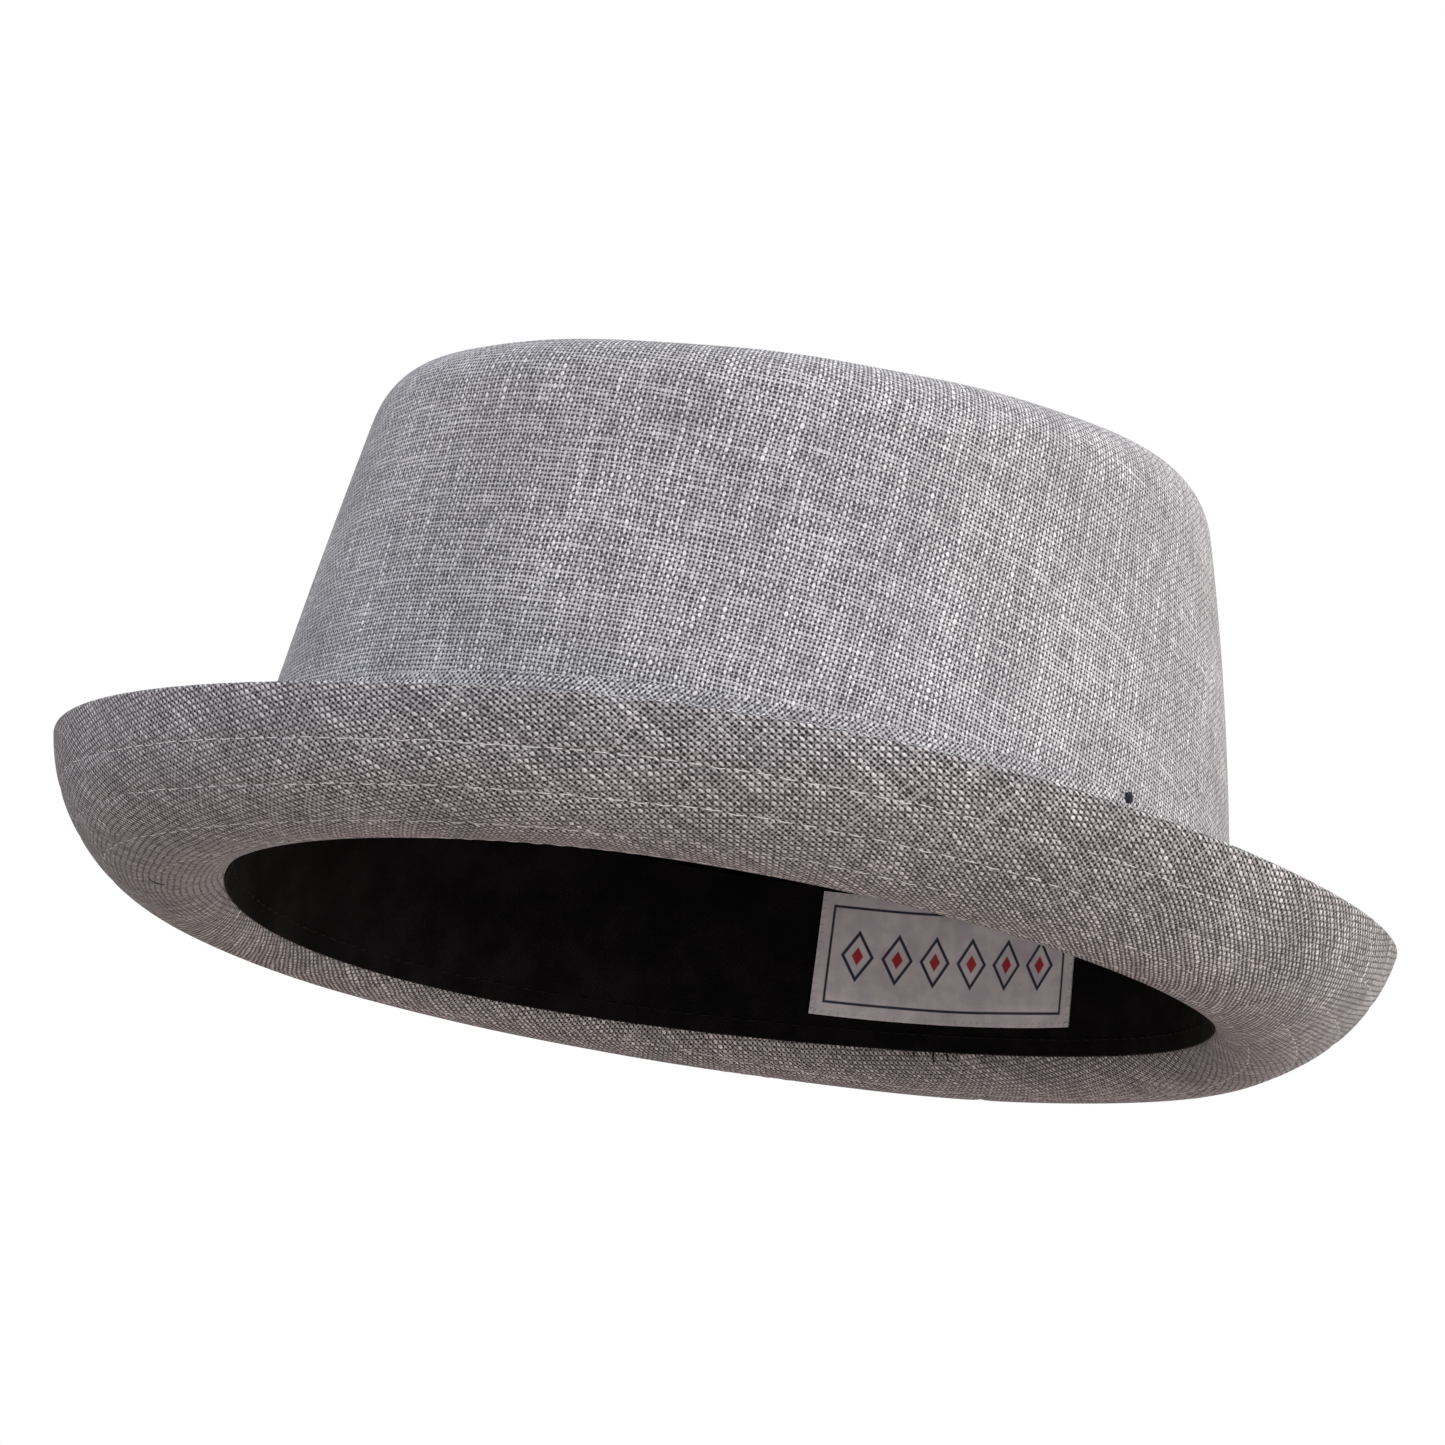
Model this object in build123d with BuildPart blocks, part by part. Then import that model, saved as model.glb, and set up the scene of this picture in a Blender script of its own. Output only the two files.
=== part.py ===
from build123d import *
from math import atan2, cos, degrees, radians, sin
import os

# A sewn pork pie hat: a short oval crown with a creased top, a narrow brim that
# curls up all round, a cloth band round the crown, and a lining and sweatband inside.
# The front of the hat faces -Y, the wearer's left is +X, and it stands on its brim.
# All sizes are in millimetres.

# Head opening: an oval of four arcs, 580 mm round inside the sweatband
HEAD_HALF_LENGTH = 97.1
HEAD_HALF_WIDTH = 87.4
OVAL_END_RATIO = 1.763  # how far the end arcs' centres lie from the middle, per mm of length over width

# Cloth thicknesses and the clearance between layers
FABRIC = 0.45
STIFFENER = 0.4
LINING = 0.3
SWEATBAND = 0.5
LABEL = 0.2
LAYER_GAP = 0.05
THREAD_RADIUS = 0.15

# Brim meridian, from the rim outwards: arcs that all bend upwards, and a flat that it stands on
RIM_START = 0.65  # the brim's under face starts this far outside the head oval
COLLAR_HEIGHT = 4.0
COLLAR_LEAN = 8.6
RIM_FOLD_RADIUS = 2.2
INNER_ARC_RADIUS = 9.6
INNER_ARC_ANGLE = 57.0
REST_WIDTH = 2.0
MIDDLE_ARC_RADIUS = 17.0
MIDDLE_ARC_ANGLE = 35.0
EDGE_ARC_RADIUS = 29.0
EDGE_ARC_ANGLE = 42.5
STIFFENER_SETBACK = 1.5

# Four rows of stitching round the brim, measured along it from its edge
STITCH_ROWS = 4
FIRST_ROW = 9.5
ROW_SPACING = 8.5
CHANNEL_WIDTH = 0.34
CHANNEL_DEPTH = 0.32
THREAD_SINK = 0.01  # the rows' thread lies this far inside the cloth's face

# Crown: leans inwards to a smaller oval, and its top slopes down to the front
CONE_SKIRT = 2.0  # the crown is drawn from this far below the rim, then cut at each layer's foot
CROWN_START = 3.0  # outer face of the crown cloth outside the head oval, where it is drawn from
WALL_DEPTH = 2.75  # from the crown cloth's outer face in to the sweatband's inner face
CROWN_HEIGHT = 98.3
TOP_HALF_LENGTH = 86.5
TOP_HALF_WIDTH = 72.7
TOP_SLOPE = 4.5
SHOULDER_RADIUS = 15.4
RIDGE_WIDTH = 2.0
CREASE_EDGE_RADIUS = 8.0
CREASE_DEPTH = 12.5
CREASE_FOOT_RADIUS = 3.5
TIP_SETBACK = 5.0  # the tip's seam lies this far inside the crease's wall
SEAM_GAP = 0.5
CROWN_FOOT = 0.3  # lower edge of the crown cloth above the rim
INNER_LAYERS_FOOT = 6.5  # lower edge of the interlining and the lining

# Cloth band round the crown, and the thread tack at its join on the wearer's left
BAND_FOOT = -0.5
BAND_TOP = 26.3
TACK_ANGLE = 78.0  # round from the front towards the wearer's left
TACK_LENGTH = 2.0
TACK_RADIUS = 0.4
TACK_HEIGHT = 24.5
SIDE_LEAN = 0.17  # how far the crown's wall leans in at the sides, per mm of height

# Sweatband and the woven label sewn to it at the centre back
SWEATBAND_FOOT = -0.4
SWEATBAND_TOP = 32.0
SWEATBAND_STITCH_HEIGHT = 2.5
LABEL_WIDTH = 56.0
LABEL_FOOT = 7.0
LABEL_TOP = 31.0
LABEL_STITCH_INSET = 1.0
LABEL_THREAD = 0.3

PRISM_REACH = 40.0  # half the height of the prisms that part the tip from the side
BIG = 400.0  # larger than the whole hat, for cutting boxes

# The rim's height above the ground, which puts the brim's flat at height zero
fold_drop = RIM_FOLD_RADIUS * (cos(radians(INNER_ARC_ANGLE)) - cos(radians(90 - COLLAR_LEAN)))
inner_drop = INNER_ARC_RADIUS * (1 - cos(radians(INNER_ARC_ANGLE)))
rim_height = fold_drop + inner_drop


def oval_wire(half_length, half_width):
    """A closed oval of tangent arcs in the XY plane, starting at the centre back."""
    excess = half_length - half_width
    end_centre = OVAL_END_RATIO * excess
    side_centre = excess * (2 * OVAL_END_RATIO - 1) / (2 * (OVAL_END_RATIO - 1))
    joint_angle = degrees(atan2(end_centre, side_centre))
    end_angle = 90 - joint_angle
    end_radius = half_length - end_centre
    side_radius = half_width + side_centre
    with BuildLine() as oval:
        CenterArc((0, end_centre), end_radius, 90, -end_angle)
        CenterArc((-side_centre, 0), side_radius, joint_angle, -2 * joint_angle)
        CenterArc((0, -end_centre), end_radius, -joint_angle, -2 * end_angle)
        CenterArc((side_centre, 0), side_radius, 180 + joint_angle, -2 * joint_angle)
        CenterArc((0, end_centre), end_radius, 180 - joint_angle, -end_angle)
    return oval.wire()


def oval_face(half_length, half_width):
    """The flat face inside such an oval."""
    return make_face(oval_wire(half_length, half_width).edges())


head_path = oval_wire(HEAD_HALF_LENGTH, HEAD_HALF_WIDTH).moved(Location((0, 0, rim_height)))

# Meridian sketches stand at the centre back: X is outwards from the head oval, Y is up from the rim
meridian_plane = Plane(
    origin=(0, HEAD_HALF_LENGTH, rim_height), x_dir=(0, 1, 0), z_dir=(1, 0, 0)
)


def brim_curve(depth, collar, setback):
    """The brim's meridian at a depth above its under face, with or without its collar.

    The setback ends it short of the brim's edge.
    """
    fold_angle = 90 - COLLAR_LEAN - INNER_ARC_ANGLE
    lean = radians(COLLAR_LEAN)
    steepness = radians(INNER_ARC_ANGLE)
    foot = Vector(RIM_START + depth * cos(lean), depth * sin(lean))
    edge_angle = EDGE_ARC_ANGLE - degrees(setback / EDGE_ARC_RADIUS)
    with BuildLine() as curve:
        if collar:
            collar_top = foot + Vector(-sin(lean), cos(lean)) * COLLAR_HEIGHT
            Line(collar_top, foot)
        fold = JernArc(foot, (sin(lean), -cos(lean)), RIM_FOLD_RADIUS - depth, fold_angle)
        inner = JernArc(
            fold @ 1, (cos(steepness), -sin(steepness)), INNER_ARC_RADIUS - depth, INNER_ARC_ANGLE
        )
        rest = Line(inner @ 1, (inner @ 1) + Vector(REST_WIDTH, 0))
        middle = JernArc(rest @ 1, (1, 0), MIDDLE_ARC_RADIUS - depth, MIDDLE_ARC_ANGLE)
        JernArc(middle @ 1, middle % 1, EDGE_ARC_RADIUS - depth, edge_angle)
    return curve.wire()


def brim_layer_face(low, high, collar, setback):
    """The section of one brim layer, between two depths."""
    under = brim_curve(low, collar, setback)
    over = brim_curve(high, collar, setback)
    with BuildSketch() as section:
        with BuildLine():
            add(under)
            add(over)
            Line(under @ 0, over @ 0)
            Line(under @ 1, over @ 1)
        make_face()
    return section.sketch


under_curve = brim_curve(0, False, 0)
row_distances = [
    under_curve.length - FIRST_ROW - ROW_SPACING * row for row in range(STITCH_ROWS)
]


def row_location(row, depth):
    """Where a stitch row crosses the meridian, turned to lie along the brim."""
    along = row_distances[row] / under_curve.length
    point = under_curve @ along
    tangent = under_curve % along
    normal = Vector(-tangent.Y, tangent.X)
    place = point + normal * depth
    turn = degrees(atan2(tangent.Y, tangent.X))
    return Location((place.X, place.Y, 0), (0, 0, turn))


# Under brim: the cloth that the hat stands on, with a sunk channel for each stitch row
under_section = brim_layer_face(0, FABRIC, True, 0)
with BuildPart() as brim_under:
    with BuildSketch(meridian_plane):
        add(under_section)
        for row in range(STITCH_ROWS):
            with Locations(row_location(row, 0)):
                Rectangle(CHANNEL_WIDTH, 2 * CHANNEL_DEPTH, mode=Mode.SUBTRACT)
    sweep(path=head_path)
brim_under.part.label = "brim_under"

# Brim stiffener between the two cloths
stiffener_low = FABRIC + LAYER_GAP
stiffener_section = brim_layer_face(
    stiffener_low, stiffener_low + STIFFENER, False, STIFFENER_SETBACK
)
with BuildPart() as brim_interlining:
    with BuildSketch(meridian_plane):
        add(stiffener_section)
    sweep(path=head_path)
brim_interlining.part.label = "brim_interlining"

# Upper brim cloth
upper_low = stiffener_low + STIFFENER + LAYER_GAP
upper_section = brim_layer_face(upper_low, upper_low + FABRIC, True, 0)
with BuildPart() as brim_upper:
    with BuildSketch(meridian_plane):
        add(upper_section)
    sweep(path=head_path)
brim_upper.part.label = "brim_upper"

# Stitch rows: one ring of thread in each channel
stitch_rows = []
for row in range(STITCH_ROWS):
    with BuildPart() as brim_stitch_row:
        with BuildSketch(meridian_plane):
            with Locations(row_location(row, THREAD_RADIUS + THREAD_SINK)):
                Circle(THREAD_RADIUS)
        sweep(path=head_path)
    brim_stitch_row.part.label = f"brim_stitch_row_{row + 1}"
    stitch_rows.append(brim_stitch_row.part)


def top_plane(drop):
    """The sloping plane of the crown's top, lowered by this much along its normal."""
    slope = radians(TOP_SLOPE)
    plane = Plane(
        origin=(0, 0, rim_height + CROWN_HEIGHT),
        x_dir=(1, 0, 0),
        z_dir=(0, -sin(slope), cos(slope)),
    )
    return plane.offset(-drop)


def crown_cone(inset):
    """The crown as a solid with a sharp top, inset from the cloth's outer face."""
    base_length = HEAD_HALF_LENGTH + CROWN_START - inset
    base_width = HEAD_HALF_WIDTH + CROWN_START - inset
    with BuildPart() as cone:
        with BuildSketch(Plane.XY.offset(rim_height - CONE_SKIRT)):
            add(oval_face(base_length, base_width))
        with BuildSketch(top_plane(inset)):
            add(oval_face(TOP_HALF_LENGTH - inset, TOP_HALF_WIDTH - inset))
        loft(ruled=True)
    return cone.part


def crown_block(inset):
    """The crown as a solid with its rounded shoulder and creased top."""
    with BuildPart() as block:
        add(crown_cone(inset))
        top_face = block.faces().sort_by(Axis.Z)[-1]
        fillet(top_face.edges(), SHOULDER_RADIUS - inset)
        with BuildSketch(top_plane(inset)):
            add(oval_face(crease_half_length + inset, crease_half_width + inset))
        extrude(amount=-CREASE_DEPTH, mode=Mode.SUBTRACT)
        ridge_face = block.faces().filter_by(GeomType.PLANE).sort_by(Axis.Z)[-1]
        fillet(ridge_face.inner_wires()[0].edges(), CREASE_EDGE_RADIUS - inset)
        floor_face = block.faces().filter_by(GeomType.PLANE).sort_by(Axis.Z)[-2]
        fillet(floor_face.edges(), CREASE_FOOT_RADIUS + inset)
    return block.part


def crown_layer(outer_inset, inner_inset, foot):
    """One layer of the whole crown, from its foot above the rim upwards."""
    outer = crown_block(outer_inset)
    inner = crown_block(inner_inset)
    with BuildPart() as layer:
        add(outer)
        add(inner, mode=Mode.SUBTRACT)
        split(bisect_by=Plane.XY.offset(rim_height + foot), keep=Keep.TOP)
    return layer.part


def crown_band(outer_inset, inner_inset, foot, top):
    """A band round the crown's wall, between two heights above the rim."""
    outer = crown_cone(outer_inset)
    inner = crown_cone(inner_inset)
    with BuildPart() as band:
        add(outer)
        add(inner, mode=Mode.SUBTRACT)
        split(bisect_by=Plane.XY.offset(rim_height + foot), keep=Keep.TOP)
        split(bisect_by=Plane.XY.offset(rim_height + top), keep=Keep.BOTTOM)
    return band.part


def tip_prism(grow):
    """A prism square to the crown's top, as wide as the tip and its seam."""
    with BuildPart() as prism:
        with BuildSketch(top_plane(0)):
            add(oval_face(tip_half_length + grow, tip_half_width + grow))
        extrude(amount=PRISM_REACH, both=True)
    return prism.part


crease_half_length = TOP_HALF_LENGTH - SHOULDER_RADIUS - RIDGE_WIDTH - CREASE_EDGE_RADIUS
crease_half_width = TOP_HALF_WIDTH - SHOULDER_RADIUS - RIDGE_WIDTH - CREASE_EDGE_RADIUS
tip_half_length = crease_half_length - TIP_SETBACK
tip_half_width = crease_half_width - TIP_SETBACK
tip_cutter = tip_prism(0)
side_cutter = tip_prism(SEAM_GAP)

interlining_inset = FABRIC + LAYER_GAP
lining_inset = interlining_inset + STIFFENER + LAYER_GAP
cloth_layer = crown_layer(0, FABRIC, CROWN_FOOT)
interlining_layer = crown_layer(
    interlining_inset, interlining_inset + STIFFENER, INNER_LAYERS_FOOT
)
lining_layer = crown_layer(lining_inset, lining_inset + LINING, INNER_LAYERS_FOOT)

# Crown side: one strip of cloth round the wall and over the shoulder, its ends meeting at the back
with BuildPart() as crown_side:
    add(cloth_layer)
    add(side_cutter, mode=Mode.SUBTRACT)
    with Locations((0, BIG / 2, 0)):
        Box(SEAM_GAP, BIG, BIG, mode=Mode.SUBTRACT)
crown_side.part.label = "crown_side"

# Crown tip: the oval of cloth at the bottom of the crease
with BuildPart() as crown_tip:
    add(cloth_layer)
    add(tip_cutter, mode=Mode.INTERSECT)
crown_tip.part.label = "crown_tip"

# Interlining that stiffens the side and the tip
with BuildPart() as crown_side_interlining:
    add(interlining_layer)
    add(side_cutter, mode=Mode.SUBTRACT)
crown_side_interlining.part.label = "crown_side_interlining"

with BuildPart() as crown_tip_interlining:
    add(interlining_layer)
    add(tip_cutter, mode=Mode.INTERSECT)
crown_tip_interlining.part.label = "crown_tip_interlining"

# Black lining of the side and the tip
with BuildPart() as lining_side:
    add(lining_layer)
    add(side_cutter, mode=Mode.SUBTRACT)
lining_side.part.label = "lining_side"

with BuildPart() as lining_tip:
    add(lining_layer)
    add(tip_cutter, mode=Mode.INTERSECT)
lining_tip.part.label = "lining_tip"

# Back seam: the thread that joins the strip's two ends, within the cloth
thread_inset = (FABRIC - 2 * THREAD_RADIUS) / 2
thread_layer = crown_layer(thread_inset, FABRIC - thread_inset, CROWN_FOOT + SEAM_GAP)
with BuildPart() as back_seam_thread:
    add(thread_layer)
    add(side_cutter, mode=Mode.SUBTRACT)
    with Locations((0, BIG / 2, 0)):
        Box(2 * THREAD_RADIUS, BIG, BIG, mode=Mode.INTERSECT)
back_seam_thread.part.label = "back_seam_thread"


def tip_seam_thread(inset):
    """A ring of thread in the gap between the tip and the side, this far below the crease's floor."""
    drop = CREASE_DEPTH + inset
    seam_plane = top_plane(drop)
    path = oval_wire(tip_half_length + SEAM_GAP / 2, tip_half_width + SEAM_GAP / 2)
    start = Vector(0, tip_half_length + SEAM_GAP / 2, 0)
    section_plane = Plane(
        origin=seam_plane.from_local_coords(start),
        x_dir=seam_plane.y_dir,
        z_dir=seam_plane.x_dir,
    )
    with BuildPart() as thread:
        with BuildSketch(section_plane):
            Circle(THREAD_RADIUS)
        sweep(path=seam_plane.from_local_coords(path))
    return thread.part


crown_tip_thread = tip_seam_thread(FABRIC / 2)
crown_tip_thread.label = "crown_tip_thread"
lining_tip_thread = tip_seam_thread(lining_inset + LINING / 2)
lining_tip_thread.label = "lining_tip_thread"

# Hatband: a folded strip of the same cloth round the foot of the crown
hatband_band = crown_band(-LAYER_GAP - FABRIC, -LAYER_GAP, BAND_FOOT, BAND_TOP)
with BuildPart() as hatband:
    add(hatband_band)
hatband.part.label = "hatband"

# Tack: a short bar of dark thread at the band's join
turn = radians(TACK_ANGLE)
tack_lean = SIDE_LEAN * (CONE_SKIRT + TACK_HEIGHT)
tack_reach = CROWN_START + 2 * LAYER_GAP + FABRIC + TACK_RADIUS - tack_lean
tack_foot = Vector(
    (HEAD_HALF_WIDTH + tack_reach) * sin(turn),
    -(HEAD_HALF_LENGTH + tack_reach) * cos(turn),
    rim_height + TACK_HEIGHT,
)
tack_plane = Plane(
    origin=tack_foot, z_dir=(-SIDE_LEAN * sin(turn), SIDE_LEAN * cos(turn), 1)
)
with BuildPart() as hatband_tack:
    with BuildSketch(tack_plane):
        Circle(TACK_RADIUS)
    extrude(amount=TACK_LENGTH)
    fillet(hatband_tack.edges().filter_by(GeomType.CIRCLE), TACK_RADIUS / 2)
hatband_tack.part.label = "hatband_tack"

# Sweatband, sewn in at the rim and leaning with the crown's wall
sweatband_band = crown_band(
    WALL_DEPTH - SWEATBAND, WALL_DEPTH, SWEATBAND_FOOT, SWEATBAND_TOP
)
with BuildPart() as sweatband:
    add(sweatband_band)
sweatband.part.label = "sweatband"

# The ring of thread that holds the sweatband
stitch_lean = SIDE_LEAN * (CONE_SKIRT + SWEATBAND_STITCH_HEIGHT)
stitch_reach = CROWN_START - WALL_DEPTH - stitch_lean - THREAD_RADIUS - 2 * LAYER_GAP
stitch_height = rim_height + SWEATBAND_STITCH_HEIGHT
stitch_path = oval_wire(
    HEAD_HALF_LENGTH + stitch_reach, HEAD_HALF_WIDTH + stitch_reach
).moved(Location((0, 0, stitch_height)))
stitch_plane = Plane(
    origin=(0, HEAD_HALF_LENGTH + stitch_reach, stitch_height),
    x_dir=(0, 1, 0),
    z_dir=(1, 0, 0),
)
with BuildPart() as sweatband_thread:
    with BuildSketch(stitch_plane):
        Circle(THREAD_RADIUS)
    sweep(path=stitch_path)
sweatband_thread.part.label = "sweatband_thread"

# Woven label on the sweatband at the centre back
label_inset = WALL_DEPTH + LAYER_GAP
label_band = crown_band(label_inset, label_inset + LABEL, LABEL_FOOT, LABEL_TOP)
with BuildPart() as woven_label:
    add(label_band)
    with Locations((0, BIG / 2, 0)):
        Box(LABEL_WIDTH, BIG, BIG, mode=Mode.INTERSECT)
woven_label.part.label = "woven_label"

# Frame of thread that sews the label down
frame_inset = label_inset + LABEL + LAYER_GAP
frame_width = LABEL_WIDTH - 2 * LABEL_STITCH_INSET
frame_foot = LABEL_FOOT + LABEL_STITCH_INSET
frame_top = LABEL_TOP - LABEL_STITCH_INSET
frame_middle = rim_height + (frame_foot + frame_top) / 2
frame_band = crown_band(frame_inset, frame_inset + LABEL_THREAD, frame_foot, frame_top)
with BuildPart() as label_thread:
    add(frame_band)
    with Locations((0, BIG / 2, 0)):
        Box(frame_width, BIG, BIG, mode=Mode.INTERSECT)
    with Locations((0, BIG / 2, frame_middle)):
        Box(
            frame_width - 2 * LABEL_THREAD,
            BIG,
            frame_top - frame_foot - 2 * LABEL_THREAD,
            mode=Mode.SUBTRACT,
        )
label_thread.part.label = "label_thread"

pieces = [
    crown_side.part,
    crown_tip.part,
    crown_side_interlining.part,
    crown_tip_interlining.part,
    lining_side.part,
    lining_tip.part,
    back_seam_thread.part,
    crown_tip_thread,
    lining_tip_thread,
    brim_upper.part,
    brim_interlining.part,
    brim_under.part,
    *stitch_rows,
    hatband.part,
    hatband_tack.part,
    sweatband.part,
    sweatband_thread.part,
    woven_label.part,
    label_thread.part,
]
os.makedirs("parts", exist_ok=True)
for piece in pieces:
    export_step(piece, f"parts/{piece.label}.step")
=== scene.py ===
"""Pork pie hat of grey linen-look cloth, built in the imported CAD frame.

Lengths are in millimetres until a mesh is made, which turns them into metres. Every surface of the
hat is worked out from two profiles, the crown's and the brim's, which change a little round the
head: turn is the angle from the front towards the wearer's left, out is the distance outside the
head opening, and up is the height above the head opening's rim.
"""

import math

import bmesh
import bpy
import numpy as np
from mathutils import Matrix, Vector


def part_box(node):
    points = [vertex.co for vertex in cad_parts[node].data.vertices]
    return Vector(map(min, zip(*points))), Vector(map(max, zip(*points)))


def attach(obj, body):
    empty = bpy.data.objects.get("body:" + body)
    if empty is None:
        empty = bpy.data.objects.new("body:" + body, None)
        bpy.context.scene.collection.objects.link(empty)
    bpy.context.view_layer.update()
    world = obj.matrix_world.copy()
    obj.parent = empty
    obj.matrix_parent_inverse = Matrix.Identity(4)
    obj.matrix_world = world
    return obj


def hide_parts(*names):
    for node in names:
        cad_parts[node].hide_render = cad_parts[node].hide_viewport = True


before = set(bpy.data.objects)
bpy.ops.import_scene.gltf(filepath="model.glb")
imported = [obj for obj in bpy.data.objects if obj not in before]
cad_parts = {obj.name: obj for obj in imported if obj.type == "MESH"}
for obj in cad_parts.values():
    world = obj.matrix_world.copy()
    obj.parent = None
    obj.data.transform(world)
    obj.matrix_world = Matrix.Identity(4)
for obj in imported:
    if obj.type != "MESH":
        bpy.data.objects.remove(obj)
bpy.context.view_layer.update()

MM = 0.001
RIM_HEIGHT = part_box("sweatband")[0][2] / MM + 0.4

# Head opening
HEAD_HALF_LENGTH = 97.1
HEAD_HALF_WIDTH = 87.4
HEAD_RADIUS = 92.0

# Thicknesses
CLOTH = 0.45
STIFFENER = 0.4
LINING = 0.3
SWEATBAND = 0.5
LABEL = 0.25
GAP = 0.05
HATBAND = 0.8
STIFFENER_DEPTH = CLOTH + GAP
THIRD_LAYER_DEPTH = STIFFENER_DEPTH + STIFFENER + GAP

# Crown wall and shoulder
CROWN_FOOT_OUT = 2.595
CROWN_HEIGHT = 98.3
CROWN_FRONT_DROP = 7.1
WALL_DEPTH = 2.75
SHOULDER_POWER = 0.82
RIDGE_WIDTH = 2.0
CREASE_EDGE_RADIUS = 8.0
CREASE_STRAIGHT = 1.0
CREASE_FOOT_RADIUS = 3.5
CREASE_FLAT = 1.5
TIP_DOME = 1.2
TIP_GAP = 0.3
INNER_LAYERS_FOOT = 6.5

# Brim
BRIM_REACH = 32.1
COLLAR_HEIGHT = 4.0
EDGE_RADIUS = 0.7
BRIM_ROW_STEP = 0.4
BRIM_THICKNESS = 2 * CLOTH + STIFFENER + 2 * GAP
STIFFENER_SETBACK = 1.5
STITCH_ROWS = (9.6, 17.8, 26.2, 35.0)
STITCH_LENGTH = 3.8
STITCH_THREAD = 0.1
STITCH_HOLE_DEPTH = 0.42
STITCH_BOW = 0.52
GROOVE_DEPTH = 0.18
GROOVE_WIDTH = 0.7
OPENING_EDGE = 46.0

# Band, sweatband and label
BAND_TOP = 26.3
TACK_TURN = 78.2
TACK_HEIGHT = 26.5
SWEATBAND_TOP = 32.0
LABEL_HALF_WIDTH = 28.2
LABEL_FOOT = 7.3
LABEL_TOP = 30.9
LABEL_HALF_HEIGHT = (LABEL_TOP - LABEL_FOOT) / 2
LABEL_BORDER_INSET = 2.6
DIAMOND_PITCH = 8.0
DIAMOND_HALF_WIDTH = 3.4
DIAMOND_HALF_HEIGHT = 5.2
DIAMOND_ROW_HALF_LENGTH = 24.0
# Angle round the head in degrees, length, and lean of each tack at the back of the rim
RIM_TACKS = (
    (195.0, 2.2, 0.5),
    (190.4, 2.6, -0.4),
    (184.2, 2.0, 0.7),
    (181.9, 2.8, 0.2),
    (180.1, 1.8, -0.3),
)
SLUB_TURN = 305.9
SLUB_ENDS = (35.3, 38.4)
RIM_TACK_START = 47.6
THREAD_TAPER = 0.35
KNOT_THREAD = 0.42
TACK_THREAD = 0.17
SLUB_THREAD = 0.11
SEAM_THREAD = 0.13
LABEL_THREAD = 0.11
TIP_THREAD = 0.14
TIP_STITCH = 2.4
SWEATBAND_STITCHES = 190

# Cloth
THREAD_PITCH = 0.8
TWIST_PITCH = 0.5
CROWN_CUT_RADIUS = 600.0
CROWN_GRAIN = -35.0
BRIM_BIAS = 55
COLUMNS = 480


def head_point(turn, out, up):
    """The point, or points, at those angles in radians, distances and heights, in mm."""
    x = HEAD_HALF_WIDTH * np.sin(turn)
    y = -HEAD_HALF_LENGTH * np.cos(turn)
    normal_x = np.sin(turn) / HEAD_HALF_WIDTH
    normal_y = -np.cos(turn) / HEAD_HALF_LENGTH
    size = np.hypot(normal_x, normal_y)
    x = x + normal_x / size * out
    y = y + normal_y / size * out
    return np.stack(np.broadcast_arrays(x, y, up + RIM_HEIGHT), axis=-1)


def wave(turn, along, seed, size, turns, length):
    """A smooth random ripple: turns is its number of waves round the head, length theirs along."""
    random = np.random.RandomState(seed)
    total = 0.0
    for count in range(6):
        round_waves = random.randint(1, turns + 1)
        along_phase = random.uniform(0, 2 * math.pi)
        turn_phase = random.uniform(0, 2 * math.pi)
        stretch = random.uniform(0.6, 1.6)
        across = np.cos(round_waves * turn + turn_phase + along / length * stretch)
        total = total + across * np.cos(along / length / stretch + along_phase)
    return size * total / 2.5


def rim_up(turn):
    """How high the head opening's rim lies: it dips at the sides."""
    return 1.96 * np.cos(2 * turn) - 0.951 * np.cos(turn)


def crown_height(turn):
    return CROWN_HEIGHT - CROWN_FRONT_DROP * np.cos(turn)


def wall_out(turn, up):
    """The crown wall's outer face. It is a little fuller, and leans in more, at the back left."""
    height = crown_height(turn)
    back_left = ((1 + np.cos(turn - math.radians(118))) / 2) ** 4
    lean = 15.5 - 3.46 * np.cos(2 * turn) - 0.2 * np.cos(turn) - 2.06 * np.sin(turn)
    lean = lean + 1.6 * back_left
    bulge = 0.29 - 0.89 * np.cos(turn) - 1.05 * np.sin(turn) - 0.24 * np.cos(2 * turn)
    bulge = bulge + 2.2 * back_left
    part = up / height
    return CROWN_FOOT_OUT - lean * part + 4 * bulge * part * (1 - part)


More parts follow.
